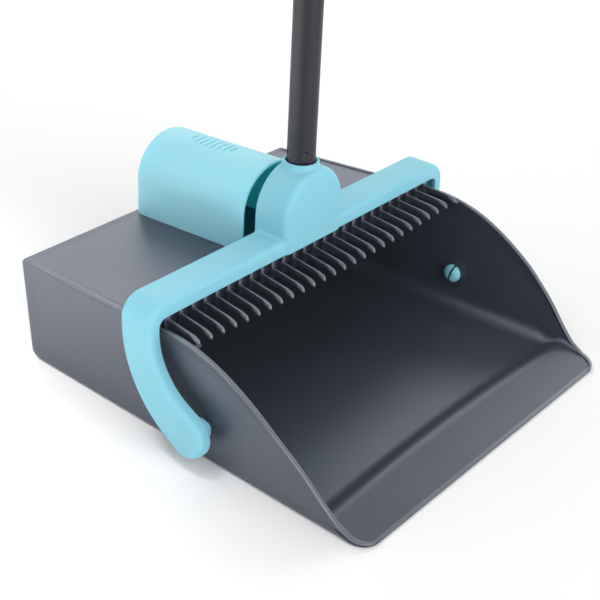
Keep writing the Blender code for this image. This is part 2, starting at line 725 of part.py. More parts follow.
# dimples punched into the plug that fills the foot of the tube
bm = bmesh.new()
for z in (178.0, 168.0):
    for k in range(4):
        a = math.radians(-38.4 + 90.0 * k)
        d = Vector((math.sin(a), -math.cos(a), 0.0))
        rod(bm, P(0.0, TUBE_Y, z) + d * (RO - 0.6) * MM, d, 1.6, 3.2, 14, 2.8)
dimples = mesh_object("cut_tube_dimples", bm, cuts)
boolean(lower, dimples)

PR = RI - 0.3
ride(turned("tube_plug", [(PR - 1.0, 193.2), (PR, 192.0), (PR, 128.0), (PR - 0.8, 127.0), (5.0, 125.6),
                          (5.0, 120.9), (5.9, 120.4), (4.4, 117.6), (2.6, 117.6), (2.6, 125.0), (7.2, 130.0),
                          (7.2, 193.2)], True, main, PLUG))


def coupler(name, lo, hi, mat):
    """Moulded collar with a spigot into each tube."""
    rows = [(PR - 2.4, hi + 32.0), (PR - 0.8, hi + 32.0), (PR, hi + 31.0), (PR, hi - 0.3),
            (RO + 0.2, hi - 0.3), (RO + 1.3, hi - 1.6), (RO + 1.3, lo + 1.6), (RO + 0.2, lo + 0.3),
            (PR, lo + 0.3), (PR, lo - 31.0), (PR - 0.8, lo - 32.0), (PR - 2.4, lo - 32.0)]
    return ride(turned(name, rows, True, main, mat))


coupler("lower_coupler", LOW_TUBE[1], MID_TUBE[0], JOIN_A)
coupler("upper_coupler", MID_TUBE[1], TOP_TUBE[0], JOIN_B)

# grip with shallow finger rings, a domed top and a hanging eye
g0, g1 = GRIP
rows = [(0.0, g1), (4.5, g1 - 0.6), (8.6, g1 - 3.6), (11.0, g1 - 9.0), (RO + 1.6, g1 - 18.0),
        (RO + 2.6, g1 - 34.0), (RO + 2.6, g1 - 50.0)]
for k in range(5):
    z = g1 - 62.0 - 11.0 * k
    rows += [(RO + 2.1, z + 2.2), (RO + 1.4, z), (RO + 2.1, z - 2.2)]
rows += [(RO + 2.1, g0 + 9.0), (RO + 2.8, g0 + 7.0), (RO + 2.8, g0 + 1.4), (RO + 1.6, g0),
         (RO + 0.3, g0), (RO + 0.3, TOP_TUBE[1] + 0.4), (0.0, TOP_TUBE[1] + 0.4)]
grip = turned("grip", rows, False, main, AQUA_GRIP)

bm = bmesh.new()
for s in (-1, 1):
    box(bm, -30.0, 30.0, min(TUBE_Y + s * 6.2, TUBE_Y + s * 30.0), max(TUBE_Y + s * 6.2, TUBE_Y + s * 30.0),
        g1 - 26.0, g1 + 5.0)
flats = mesh_object("cut_grip_flats", bm, cuts)
boolean(grip, flats)

bm = bmesh.new()
eye = []
for i in range(20):
    t = 2 * math.pi * i / 20
    eye.append((4.3 * math.cos(t), g1 - 15.5 + 7.0 * math.sin(t)))
prism(bm, eye, "y", TUBE_Y - 20.0, TUBE_Y + 20.0)
hole = mesh_object("cut_hanging_eye", bm, cuts)
boolean(grip, hole)
ride(grip)

for ob in main.objects:
    if ob.type == "MESH":
        ob.data.shade_smooth()
        ob.data.set_sharp_from_angle(angle=math.radians(35))
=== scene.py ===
"""Looks of the upright dustpan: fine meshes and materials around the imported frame.

Lengths below are millimetres.  y counts from the pan's rear bottom edge, negative toward the mouth,
as in the part's own source; place() turns them into the frame's metres.
"""
import json
import math

import bmesh
import bpy
import numpy as np
from mathutils import Matrix, Vector


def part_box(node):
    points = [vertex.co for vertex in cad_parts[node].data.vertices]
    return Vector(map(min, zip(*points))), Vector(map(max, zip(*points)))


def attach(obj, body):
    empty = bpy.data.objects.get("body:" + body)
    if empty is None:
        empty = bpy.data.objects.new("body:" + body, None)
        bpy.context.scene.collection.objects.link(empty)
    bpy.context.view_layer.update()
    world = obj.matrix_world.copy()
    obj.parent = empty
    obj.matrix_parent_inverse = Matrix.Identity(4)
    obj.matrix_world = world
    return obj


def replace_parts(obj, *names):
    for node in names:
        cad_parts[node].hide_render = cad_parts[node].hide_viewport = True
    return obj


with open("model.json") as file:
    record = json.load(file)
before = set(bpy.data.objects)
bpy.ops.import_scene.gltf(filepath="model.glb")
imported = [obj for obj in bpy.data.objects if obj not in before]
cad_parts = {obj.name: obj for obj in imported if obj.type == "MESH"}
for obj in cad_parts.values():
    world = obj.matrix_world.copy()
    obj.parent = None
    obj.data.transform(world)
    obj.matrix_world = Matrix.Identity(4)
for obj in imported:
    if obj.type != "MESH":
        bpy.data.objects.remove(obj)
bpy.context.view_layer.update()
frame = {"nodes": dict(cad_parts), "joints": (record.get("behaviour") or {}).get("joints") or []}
hinge = frame["joints"][0]

MM = 0.001
PIN_Y, PIN_Z = -196.3, hinge["pos_m"][2] / MM
Y_ZERO = hinge["pos_m"][1] / MM - PIN_Y          # the rear bottom edge in the frame

# pan
PAN_DEPTH, REAR_HEIGHT, DECK_RISE, REAR_LEAN = 340.0, 88.6, 0.057, 5.4
REAR_HALF, RIM_HALF, FOOT_HALF, FOOT_FLARE = 150.0, 164.0, 149.6, 0.020
WALL, FLOOR, BEAD, DECK_STEP = 2.6, 3.0, 3.9, 1.2
DECK_FRONT = -149.5
REAR_TOP_R, REAR_LOW_R, REAR_SIDE_R = 8.0, 7.5, 2.2
CREST_BOW, CORNER_R = 4.9, 14.0
MOUTH_RIM = [(-143, 96.8), (-179, 97.8), (-214, 89.6), (-250, 70.4), (-285, 42.6), (-309, 17.6),
             (-324, 5.6), (-340, 2.2)]
RAMP_FOOT, CREST, LIP_EDGE = (-292.5, FLOOR), (-305.5, 9.5), (-341.0, 1.2)
# widths and start of the painted highlight on the rim bead and on the lip's edge
RIM_HIGHLIGHT, MOUTH_HIGHLIGHT, LIP_HIGHLIGHT_FROM = 1.7, 2.9, -337.4    # how wide the rim shines, and where the lip does
CELL_PITCH = 70.0                                      # cells under the ramp

# comb: an upstand under the crossbar, notched, with a tooth in front of each pillar between notches
COMB_REAR, COMB_FRONT, COMB_HALF, COMB_TOP = -147.0, -157.5, 157.2, 105.2
NOTCH_R, NOTCH_CENTRE, RIDGE_ROOT = 4.7, -155.4, 102.4
TEETH, TEETH_ROOT_HALF, TEETH_TIP_HALF, TOOTH_TIP = 26, 153.5, 155.5, -189.3
SAG_ROOT, SAG_TIP = 3.5, 5.2                     # the comb is lower in the middle of the pan
RIDGE = [(-155.5, 103.3), (-157.5, 102.9), (-160.0, 102.5), (-163.0, 102.2), (-176.0, 101.2),
         (-182.0, 100.7), (-186.0, 99.7), (-188.3, 98.5), (-189.3, 97.2)]

# yoke
YOKE_HALF, ARM_T, BAR_TOP, BAR_BOTTOM = 175.6, 10.0, 118.9, 106.7
BAR_REAR, BAR_FRONT, BAR_CORNER = -131.4, -161.0, 17.5
ARM_REAR_ARC, ARM_FRONT_ARC, ARM_END = (-221.8, 97.0, 90.4), (-213.3, 97.0, 52.1), (-192.2, 29.3, 17.6)
RIB_WALL, CELL_HALF, CELL_STEP = 3.2, 14.3, 31.0       # hollow back of the arms and of the crossbar
HUB_HALF_FRONT, HUB_HALF_REAR, HUB_TOP = 34.0, 36.2, 167.0
HUB_FRONT, HUB_REAR = BAR_FRONT - 0.7, BAR_REAR + 0.2
HUB_EDGE_FRONT, HUB_EDGE_REAR = 5.5, 2.5
BOSS_R, PIN_SLOT_HALF, PIN_SLOT_TILT = 8.4, 1.35, 15.0
COLLAR_TOP = 170.5

# hood and handle
HOOD_REAR, HOOD_FRONT, HOOD_HALF, HOOD_RISE, HOOD_WALL = -2.2, -119.0, 35.4, 65.5, 2.6
GROOVES, GROOVE_FIRST, GROOVE_STEP, GROOVE_HALF = 8, -36.0, 6.0, 8.5
TUBE_Y, TUBE_R, TUBE_WALL = -145.0, 11.0, 0.8
DIMPLE_ROWS, DIMPLE_DEPTH, DIMPLE_R = (178.0, 169.3), 2.3, 2.9
SPIGOT = 32.0                                          # hidden in each tube, at both ends of a coupler
COUPLER_RIBS = 36
GRIP_RINGS, GRIP_RING_STEP = 5, 11.0


def place(x, y, z):
    return Vector((x * MM, (y + Y_ZERO) * MM, z * MM))


# ------------------------------------------------------------------ curves
def through(points, v):
    """Smooth curve through (position, value) points, as a cubic between each two."""
    pts = sorted(points)
    slopes = []
    for i in range(len(pts)):
        a, b = pts[max(i - 1, 0)], pts[min(i + 1, len(pts) - 1)]
        slopes.append((b[1] - a[1]) / (b[0] - a[0]))
    v = min(max(v, pts[0][0]), pts[-1][0])
    i = max(k for k in range(len(pts) - 1) if pts[k][0] <= v)
    (x0, y0), (x1, y1) = pts[i], pts[i + 1]
    h = x1 - x0
    t = (v - x0) / h
    return (y0 * (1 + 2 * t) * (1 - t) ** 2 + y1 * t * t * (3 - 2 * t)
            + h * slopes[i] * t * (1 - t) ** 2 - h * slopes[i + 1] * t * t * (1 - t))


def smooth(low, high, v):
    t = min(max((v - low) / (high - low), 0.0), 1.0)
    return t * t * (3 - 2 * t)


def rounded(distance, radius):
    """How far a quarter round of that radius stands back, at a distance from its end."""
    if distance >= radius:
        return 0.0
    return radius - math.sqrt(max(radius * radius - (radius - distance) ** 2, 0.0))


def arc(cu, cv, radius, start, end, steps):
    turn = [math.radians(start + (end - start) * i / steps) for i in range(steps + 1)]
    return [(cu + radius * math.cos(a), cv + radius * math.sin(a)) for a in turn]


def spread(*stops):
    """Stations between stops given as (value, steps to the next stop)."""
    out = []
    for (a, n), (b, _) in zip(stops, stops[1:]):
        out += [a + (b - a) * i / n for i in range(n)]
    return out + [stops[-1][0]]


# ------------------------------------------------------------------ mesh building
def grid(bm, rows, wrap=False):
    """Quads over rows of points; wrap closes each row on itself."""
    rings = [[bm.verts.new(p) for p in row] for row in rows]
    count = len(rings[0])
    for a, b in zip(rings, rings[1:]):
        for i in range(count if wrap else count - 1):
            j = (i + 1) % count
            bm.faces.new((a[i], a[j], b[j], b[i]))
    return rings


def turned_on_pins(bm, profile, steps=64):
    """Surface of revolution of (radius, x) pairs about the pins' axis."""
    rows = []
    for r, x in profile:
        turn = [2 * math.pi * i / steps for i in range(steps)]
        rows.append([place(x, PIN_Y + r * math.cos(a), PIN_Z + r * math.sin(a)) for a in turn])
    return grid(bm, rows, wrap=True)


def piece(name, bm, look, body, sharp=32.0, merge=0.003):
    """Closes a bmesh into a piece that rides on a body."""
    bmesh.ops.remove_doubles(bm, verts=bm.verts, dist=merge * MM)
    bmesh.ops.recalc_face_normals(bm, faces=bm.faces)
    mesh = bpy.data.meshes.new(name)
    bm.to_mesh(mesh)
    bm.free()
    mesh.shade_smooth()
    mesh.set_sharp_from_angle(angle=math.radians(sharp))
    mesh.materials.append(look)
    ob = bpy.data.objects.new(name, mesh)
    bpy.context.scene.collection.objects.link(ob)
    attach(ob, body)
    return ob


def paint_highlight(ob, where):
    """Gives a piece's faces the lighter painted-highlight material where a test of their centre, in part
    millimetres, holds.
    """
    ob.data.materials.append(painted_highlight_look)
    for face in ob.data.polygons:
        c, n = face.center / MM, face.normal
        if where(c.x, c.y - Y_ZERO, c.z, n):
            face.material_index = 1
    return ob


def apply_modifiers(ob):
    """Replaces an object's mesh by its evaluated one."""
    bpy.context.view_layer.update()
    shown = ob.evaluated_get(bpy.context.evaluated_depsgraph_get())
    mesh = bpy.data.meshes.new_from_object(shown)
    ob.modifiers.clear()
    ob.data = mesh
    return ob


def outline_solid(outline, axis, low, high):
    """Flat outline extruded along x (outline in y, z) or y (outline in x, z), as a closed object."""
    bm = bmesh.new()
    rows = []
    for v in (low, high):
        if axis == "x":
            rows.append([place(v, a, b) for a, b in outline])
        else:
            rows.append([place(a, v, b) for a, b in outline])
    rings = grid(bm, rows, wrap=True)
    bm.faces.new(rings[0])
    bm.faces.new(list(reversed(rings[1])))
    bmesh.ops.recalc_face_normals(bm, faces=bm.faces)
    mesh = bpy.data.meshes.new("tool")
    bm.to_mesh(mesh)
    bm.free()
    ob = bpy.data.objects.new("tool", mesh)
    bpy.context.scene.collection.objects.link(ob)
    return ob


def combine(ob, tools, operation):
    """Boolean of an object with tool objects, which are removed afterwards."""
    for tool in tools:
        mod = ob.modifiers.new(operation, "BOOLEAN")
        mod.operation = operation
        mod.solver = "EXACT"
        mod.object = tool
    apply_modifiers(ob)
    for tool in tools:
        bpy.data.objects.remove(tool)
    return ob


# ------------------------------------------------------------------ materials
def nodes_of(name):
    mat = bpy.data.materials.new(name)
    mat.use_nodes = True
    tree = mat.node_tree
    return mat, tree, tree.nodes["Principled BSDF"]


def link(tree, a, out, b, into):
    tree.links.new(a.outputs[out], b.inputs[into])


def noise(tree, where, scale, detail=3.0, rough=0.5, stretch=(1, 1, 1)):
    mapping = tree.nodes.new("ShaderNodeMapping")
    mapping.inputs["Scale"].default_value = stretch
    link(tree, where, "Object", mapping, "Vector")
    node = tree.nodes.new("ShaderNodeTexNoise")
    node.inputs["Scale"].default_value = scale
    node.inputs["Detail"].default_value = detail
    node.inputs["Roughness"].default_value = rough
    link(tree, mapping, "Vector", node, "Vector")
    return node


def span(tree, source, out, low, high, start=0.3, end=0.7):
    node = tree.nodes.new("ShaderNodeMapRange")
    node.inputs["From Min"].default_value = start
    node.inputs["From Max"].default_value = end
    node.inputs["To Min"].default_value = low
    node.inputs["To Max"].default_value = high
    link(tree, source, out, node, "Value")
    return node


def moulded(name, color, deep, rough, grain=0.05, soft=0.0, gloss=0.5, cast=(1.0, 1.0, 1.0), ior=1.49):
    """Injection-moulded plastic: cloudy colour, fine spark-eroded grain and faint scuffs."""
    mat, tree, bsdf = nodes_of(name)
    where = tree.nodes.new("ShaderNodeTexCoord")
    cloud = noise(tree, where, 14.0, 4.0, 0.55)
    blend = tree.nodes.new("ShaderNodeMix")
    blend.data_type = "RGBA"
    blend.inputs["A"].default_value = (*deep, 1.0)
    blend.inputs["B"].default_value = (*color, 1.0)
    link(tree, span(tree, cloud, "Fac", 0.0, 1.0, 0.32, 0.62), "Result", blend, "Factor")
    speck = noise(tree, where, 900.0, 2.0)
    tint = tree.nodes.new("ShaderNodeMix")
    tint.data_type = "RGBA"
    tint.blend_type = "MULTIPLY"
    tint.inputs["Factor"].default_value = 0.10
    link(tree, blend, "Result", tint, "A")
    link(tree, speck, "Color", tint, "B")
    link(tree, tint, "Result", bsdf, "Base Color")
    scuff = noise(tree, where, 30.0, 6.0, 0.65)
    link(tree, span(tree, scuff, "Fac", rough - 0.015, rough + 0.02), "Result", bsdf, "Roughness")
    skin = noise(tree, where, 1700.0, 2.0, 0.6)
    bump = tree.nodes.new("ShaderNodeBump")
    bump.inputs["Strength"].default_value = grain
    bump.inputs["Distance"].default_value = 0.0002
    link(tree, skin, "Fac", bump, "Height")
    link(tree, bump, "Normal", bsdf, "Normal")
    bsdf.inputs["IOR"].default_value = ior
    bsdf.inputs["Specular IOR Level"].default_value = gloss
    bsdf.inputs["Specular Tint"].default_value = (*cast, 1.0)
    if soft:
        bsdf.inputs["Subsurface Weight"].default_value = soft
        bsdf.inputs["Subsurface Radius"].default_value = (0.12, 1.0, 0.8)
        bsdf.inputs["Subsurface Scale"].default_value = 0.0065
    return mat


def painted_tube(name):
    """Grey powder-painted steel with a drawn tube's faint length-wise lines."""
    mat, tree, bsdf = nodes_of(name)
    where = tree.nodes.new("ShaderNodeTexCoord")
    lines = noise(tree, where, 260.0, 3.0, 0.6, (1.0, 1.0, 0.02))
    blend = tree.nodes.new("ShaderNodeMix")
    blend.data_type = "RGBA"
    blend.inputs["A"].default_value = (*TUBE_GREY_DEEP, 1.0)
    blend.inputs["B"].default_value = (*TUBE_GREY, 1.0)
    link(tree, span(tree, lines, "Fac", 0.0, 1.0), "Result", blend, "Factor")
    link(tree, blend, "Result", bsdf, "Base Color")
    orange_peel = noise(tree, where, 700.0, 2.0)
    link(tree, span(tree, orange_peel, "Fac", 0.36, 0.40), "Result", bsdf, "Roughness")
    bump = tree.nodes.new("ShaderNodeBump")
    bump.inputs["Strength"].default_value = 0.03
    bump.inputs["Distance"].default_value = 0.0001
    link(tree, orange_peel, "Fac", bump, "Height")
    link(tree, bump, "Normal", bsdf, "Normal")
    bsdf.inputs["Specular IOR Level"].default_value = 0.3
    bsdf.inputs["Coat Weight"].default_value = 0.1
    bsdf.inputs["Coat Roughness"].default_value = 0.25
    return mat


AQUA, AQUA_DEEP = (0.26, 0.61, 0.735), (0.245, 0.59, 0.715)
HOOD_AQUA, HOOD_AQUA_DEEP = (0.36, 0.79, 0.95), (0.345, 0.77, 0.93)
PAN_GREY, PAN_GREY_DEEP = (0.040, 0.046, 0.060), (0.036, 0.041, 0.054)
# lighter grey for painted highlights on the rim bead, lip edge, comb pillars and tooth ridges
PAINTED_HIGHLIGHT, PAINTED_HIGHLIGHT_DEEP = (0.135, 0.145, 0.165), (0.108, 0.117, 0.135)
TUBE_GREY, TUBE_GREY_DEEP = (0.022, 0.022, 0.031), (0.018, 0.018, 0.026)
COOL = (0.76, 0.84, 1.0)                          # tint of the shine on the grey mouldings
pan_look = moulded("pan_grey_moulding", PAN_GREY, PAN_GREY_DEEP, 0.42, gloss=0.95, cast=COOL, ior=1.62)
# second material for the pan's painted highlights
painted_highlight_look = moulded("pan_grey_painted_highlight", PAINTED_HIGHLIGHT, PAINTED_HIGHLIGHT_DEEP, 0.36, gloss=0.95, cast=COOL, ior=1.62)
yoke_look = moulded("yoke_aqua_moulding", AQUA, AQUA_DEEP, 0.52, soft=0.35, gloss=0.35)
hood_look = moulded("hood_aqua_moulding", HOOD_AQUA, HOOD_AQUA_DEEP, 0.50, soft=0.75, gloss=0.4)
grip_look = moulded("grip_aqua_moulding", AQUA, AQUA_DEEP, 0.52, grain=0.12, soft=0.2, gloss=0.4)
coupler_look = moulded("coupler_grey_moulding", (0.030, 0.031, 0.037), (0.025, 0.026, 0.031), 0.42,
                       cast=COOL)
plug_look = moulded("plug_dark_moulding", (0.030, 0.030, 0.034), (0.024, 0.024, 0.028), 0.55)
tube_look = painted_tube("tube_grey_paint")


# ------------------------------------------------------------------ pan
def rim_half(y):
    t = min(max(-y / 230.0, 0.0), 1.0)
    return REAR_HALF + (RIM_HALF - REAR_HALF) * (1.0 - (1.0 - t) ** 1.6)


def floor_z(y):
    if y >= RAMP_FOOT[0]:
        return RAMP_FOOT[1]
    if y >= CREST[0]:
        t = (RAMP_FOOT[0] - y) / (RAMP_FOOT[0] - CREST[0])
        return RAMP_FOOT[1] + (CREST[1] - RAMP_FOOT[1]) * t
    t = (CREST[0] - y) / (CREST[0] - LIP_EDGE[0])
    return CREST[1] + (LIP_EDGE[1] - CREST[1]) * t


def rim_z(y):
    if y >= MOUTH_RIM[0][0]:
        return REAR_HEIGHT + DECK_RISE * (-y)
    bead = floor_z(y) + 0.9 if y < -316.0 else 0.0
    return max(through(MOUTH_RIM, y), bead)


def deck_z(y):
    return REAR_HEIGHT + DECK_RISE * (-y) - DECK_STEP


def side_x(y, z):
    top = max(rim_z(y), 60.0)
    t = min(max(z / top, 0.0), 1.0)
    foot = FOOT_HALF - FOOT_FLARE * y
    return foot + (rim_half(y) - foot) * t ** 0.9


def plan_corner(y):
    return rounded(y + PAN_DEPTH, CORNER_R)


def lean(y, z):
    return REAR_LEAN * (z / REAR_HEIGHT) * max(0.0, 1.0 + y / 70.0)


def crest_warp(x, y):
    if y > -240.0 or y < -338.0:
        return 0.0
    k = min(1.0, (-y - 240.0) / 45.0) * min(1.0, (y + 338.0) / 12.0)
    return CREST_BOW * k * max(0.0, 1.0 - (x / 152.0) ** 2)


def ramp_underside(x, y):
    """Depth of the cells moulded under the ramp, to keep its wall even."""
    inside = smooth(-293.0, -297.0, y) * smooth(-331.0, -327.0, y) * smooth(140.0, 137.0, abs(x))
    cell = abs((abs(x) + CELL_PITCH / 2) % CELL_PITCH - CELL_PITCH / 2)
    return max(floor_z(y) - WALL, 0.4) * inside * smooth(1.6, 3.0, cell)


def pan_outer(y):
    """Half of the outside, from the middle of the bottom to the top of the rim bead."""
    top = rim_z(y) - rounded(-y, REAR_TOP_R)
    low = rounded(-y, REAR_LOW_R)
    cut = plan_corner(y) + rounded(-y, REAR_SIDE_R)
    lip = smooth(-300.0, -336.0, y)
    foot_r = min(4.0 + 3.0 * lip, (top - low) * 0.45)
    foot = side_x(y, foot_r) - cut - foot_r
    line = [(foot * k / 40.0, low) for k in range(40)]
    for a in range(0, 91, 15):
        t = math.radians(a - 90)
        line.append((foot + foot_r * math.cos(t), low + foot_r + foot_r * math.sin(t)))
    bead_h = min(3.0, (top - low) * 0.3)
    bead = 0.8 * smooth(-2.0, -14.0, y)
    under = top - bead_h - 1.4
    base = low + foot_r
    for k in range(1, 13):
        z = base + (under - base) * k / 12.0
        line.append((side_x(y, z) - cut - bead, z))
    for k in range(1, 5):
        z = under + 1.4 * k / 4.0
        line.append((side_x(y, z) - cut - bead * (1.0 - smooth(0, 4, k)), z))
    r = min(1.3, bead_h * 0.45)
    edge = side_x(y, top) - cut
    for a in range(0, 91, 18):
        t = math.radians(a)
        line.append((edge - r + r * math.cos(t), top - r + r * math.sin(t)))
    return line, edge, top, r


def pan_inner(y):
    """Half of the inside, from the top of the rim bead down to the middle of the floor."""
    _, edge, top, outer_r = pan_outer(y)
    floor = floor_z(y) + rounded(-y - WALL, 7.0)
    width = min(BEAD, edge * 0.5)
    height = max(top - floor, 0.05)
    r = min(1.1, height * 0.4)
    line = [(edge - outer_r, top), (edge - width * 0.5, top + 0.05)]
    for a in range(0, 91, 18):
        t = math.radians(a)
        line.append((edge - width + r - r * math.sin(t), top - r + r * math.cos(t)))
    fillet = min(14.0 - 9.0 * smooth(-282.0, -300.0, y), height * 0.75)
    cut = edge - side_x(y, top)
    start = line[-1][1]
    end = floor + fillet
    for k in range(1, 13):
        z = start + (end - start) * k / 12.0
        x = min(side_x(y, z) + cut - WALL, line[-1][0] if k > 3 else 1e9)
        step = (edge - width) * (1 - smooth(0, 3, k)) + (side_x(y, z) + cut - WALL) * smooth(0, 3, k)
        line.append((step if k < 3 else x, z))
    wall = line[-1][0]
    for a in range(10, 91, 10):
        t = math.radians(a)
        line.append((wall - fillet + fillet * math.cos(t), end - fillet * math.sin(t)))
    foot = wall - fillet
    line += [(foot * (1 - k / 40.0), floor) for k in range(1, 41)]
    return line


def mirrored(line):
    """A half profile that starts or ends in the middle, made whole from left to right."""
    if line[0][0] == 0.0:
        return [(-x, z) for x, z in reversed(line[1:])] + line
    return line + [(-x, z) for x, z in reversed(line[:-1])]


def pan_shell():
    bm = bmesh.new()
    corner = [-PAN_DEPTH + CORNER_R * (1 - math.cos(math.radians(a))) for a in range(0, 91, 6)]
    front = corner + spread((-315.0, 8), (-285.0, 10), (-230.0, 12), (-160.0, 3), (DECK_FRONT, 1))
    rear = spread((DECK_FRONT, 14), (-14.0, 6), (-REAR_LOW_R, 1))[1:]
    round_rear = [-REAR_LOW_R * (1 - math.sin(math.radians(a))) for a in range(9, 91, 9)]
    stations = front + rear + round_rear
    rows = []
    for y in stations:
        line = pan_outer(y)[0]
        rows.append([place(x, y + lean(y, z), z + ramp_underside(x, y) * (1.0 if z < 0.5 else 0.0))
                     for x, z in mirrored(line)])
    outer = grid(bm, rows)
    inner_stations = [y for y in stations if y < -WALL - 0.2] + [-WALL - 0.2]
    rows = []
    for y in inner_stations:
        rows.append([place(x, y + lean(y, z) + crest_warp(x, y) * (1.0 if z < 60 else 0.0), z)
                     for x, z in mirrored(pan_inner(y))])
    inner = grid(bm, rows)
    # the lip's front edge joins the two skins
    front_edges = edge_chain(bm, outer[0]) + edge_chain(bm, list(reversed(inner[0])))
    bmesh.ops.bridge_loops(bm, edges=front_edges)
    bm.faces.new(list(outer[-1]))
    bm.faces.new(list(reversed(inner[-1])))
    ob = piece("pan_shell", bm, pan_look, "pan", sharp=30.0)
    # the rim bead's top and the lip's edge get the lighter material: a painted highlight
    return paint_highlight(ob, on_rim_or_lip)


def on_rim_or_lip(x, y, z, normal):
    """Whether a face of the shell is on top of the rim bead or on the lip's edge, where the painted
    highlight goes.
    """
    if y < LIP_HIGHLIGHT_FROM and normal.z > 0.3:
        return True
    inner_edge = side_x(y, z) - RIM_HIGHLIGHT - MOUTH_HIGHLIGHT * smooth(-150.0, -230.0, y) - plan_corner(y)
    upward = normal.z > 0.3 or abs(normal.x) > 0.25
    return z > rim_z(y) - 1.1 and z > 1.5 and abs(x) > inner_edge and upward


def edge_chain(bm, verts):
    """Edges that join a row of vertices."""
    out = []
    for a, b in zip(verts, verts[1:]):
        e = bm.edges.get((a, b))
        if e is not None:
            out.append(e)
    return out


def pan_deck():
    """Deck plate inside the rim, rounded down at the rear."""
    bm = bmesh.new()
    rows = []
    stations = [-REAR_TOP_R * (1 - math.sin(math.radians(a))) for a in range(90, 8, -9)]
    stations += spread((-REAR_TOP_R, 4), (-14.0, 8), (DECK_FRONT - 1.0, 1))
    for y in stations:
        _, edge, rim, _ = pan_outer(y)
        step = DECK_STEP * smooth(-3.0, -12.0, y)
        drop = rim - step
        width = BEAD * 0.55
        line = [(edge - width, rim - 0.02), (edge - width - 0.5, rim - step * 0.25),
                (edge - width - 0.8, rim - step * 0.7), (edge - width - 1.5, drop)]
        foot = edge - width - 1.5
        line += [(foot * (1 - k / 24.0), drop) for k in range(1, 25)]
        rows.append([place(x, y + lean(y, z), z) for x, z in mirrored(line)])
    grid(bm, rows)
    return piece("pan_deck", bm, pan_look, "pan", sharp=38.0)


def pan_roof():
    """Underside of the deck, seen through the mouth."""
    bm = bmesh.new()
    rows = []
    for y in spread((-WALL - 0.2, 2), (-8.0, 8), (DECK_FRONT - 1.0, 1)):
        half = side_x(y, deck_z(y)) - WALL * 0.6
        z = deck_z(y) - WALL - rounded(-y - WALL, 8.0)
        rows.append([place(half * k / 12.0, y + lean(y, z), z) for k in range(-12, 13)])
    grid(bm, rows)
    return piece("pan_roof", bm, pan_look, "pan")


def comb_reach(y):
    """How far along its teeth a station is, from root 0 to tip 1."""
    return min(max((COMB_FRONT - y) / (COMB_FRONT - TOOTH_TIP), 0.0), 1.0)


def tooth_x(i, y):
    half = TEETH_ROOT_HALF + (TEETH_TIP_HALF - TEETH_ROOT_HALF) * comb_reach(y)
    return half * (2.0 * i / (TEETH - 1) - 1.0)


def comb_sag(x, y):
    deepest = SAG_ROOT + (SAG_TIP - SAG_ROOT) * comb_reach(y)
    return deepest * (1.0 - (x / TEETH_TIP_HALF) ** 2)


def comb_upstand():
    """Wall along the deck's front edge, with a round notch between each two teeth."""
    outline = [(-COMB_HALF, COMB_REAR), (COMB_HALF, COMB_REAR), (COMB_HALF, COMB_FRONT)]
    for i in reversed(range(TEETH - 1)):
        mid = (tooth_x(i, COMB_FRONT) + tooth_x(i + 1, COMB_FRONT)) / 2.0
        outline += [(mid + NOTCH_R, COMB_FRONT)] + arc(mid, NOTCH_CENTRE, NOTCH_R, 0, 180, 14)
        outline += [(mid - NOTCH_R, COMB_FRONT)]
    outline.append((-COMB_HALF, COMB_FRONT))
    bm = bmesh.new()
    foot = deck_z(DECK_FRONT) - WALL
    rows = []
    for inset, z in ((0.4, foot), (0.0, foot + 0.4), (0.0, RIDGE_ROOT), (0.0, COMB_TOP - 0.5),
                     (0.15, COMB_TOP - 0.15), (0.5, COMB_TOP)):
        rows.append([place(x, y - inset if y > COMB_REAR - 0.1 else y + inset,
                           z - (comb_sag(x, COMB_FRONT) if z == RIDGE_ROOT else 0.0)) for x, y in outline])
    rings = grid(bm, rows, wrap=True)
    bm.faces.new(rings[-1])
    bm.faces.new(list(reversed(rings[0])))
    ob = piece("comb_upstand", bm, pan_look, "pan", sharp=40.0)
    # front faces of the pillars between notches get the lighter material: painted light from the front
    return paint_highlight(ob, lambda x, y, z, n: (n.y < -0.9 and y < COMB_FRONT + 0.1
                                       and z > RIDGE_ROOT - comb_sag(x, y)))


def comb_teeth():
    """Slim blades: flared at the root, a thin ridge, fuller toward a blunt tip that droops."""
    bm = bmesh.new()
    stations = spread((-155.5, 10), (-163.0, 8), (-178.0, 8), (-187.3, 1))
    stations += [TOOTH_TIP + 2.0 * (1.0 - math.sin(math.radians(a))) for a in range(10, 91, 10)]
    for i in range(TEETH):
        rows = []
        for y in stations:
            x = tooth_x(i, y)
            top = through(RIDGE, y) - comb_sag(x, y)
            half = 0.80 + 0.70 * smooth(-161.0, -157.0, y) + 0.62 * smooth(-176.0, -186.5, y)
            depth = 5.2 + 4.4 * smooth(-164.0, -157.0, y) - 1.9 * smooth(-160.0, -187.0, y)
            close = math.sqrt(max(1.0 - (max(0.0, TOOTH_TIP + 2.0 - y) / 2.0) ** 2, 0.0))
            half = max(half * close, 0.04)
            middle = top - depth / 2.0
            tall = max(depth / 2.0 * (0.25 + 0.75 * close), 0.05)
            cap = min(half, tall)
            ring = [(half * math.cos(math.radians(a)), tall - cap + cap * math.sin(math.radians(a)))
                    for a in range(0, 181, 20)]
            ring += [(-half * 1.2, -tall + cap * 0.5), (-half * 0.6, -tall), (half * 0.6, -tall),
                     (half * 1.2, -tall + cap * 0.5)]
            rows.append([place(x + across, y, middle + up) for across, up in ring])
        rings = grid(bm, rows, wrap=True)
        bm.faces.new(list(reversed(rings[0])))
        bm.faces.new(rings[-1])
    ob = piece("comb_teeth", bm, pan_look, "pan", sharp=50.0, merge=0.001)
    # upward faces of the teeth get the lighter material: a painted highlight along the ridges
    return paint_highlight(ob, lambda x, y, z, n: n.z > 0.15)


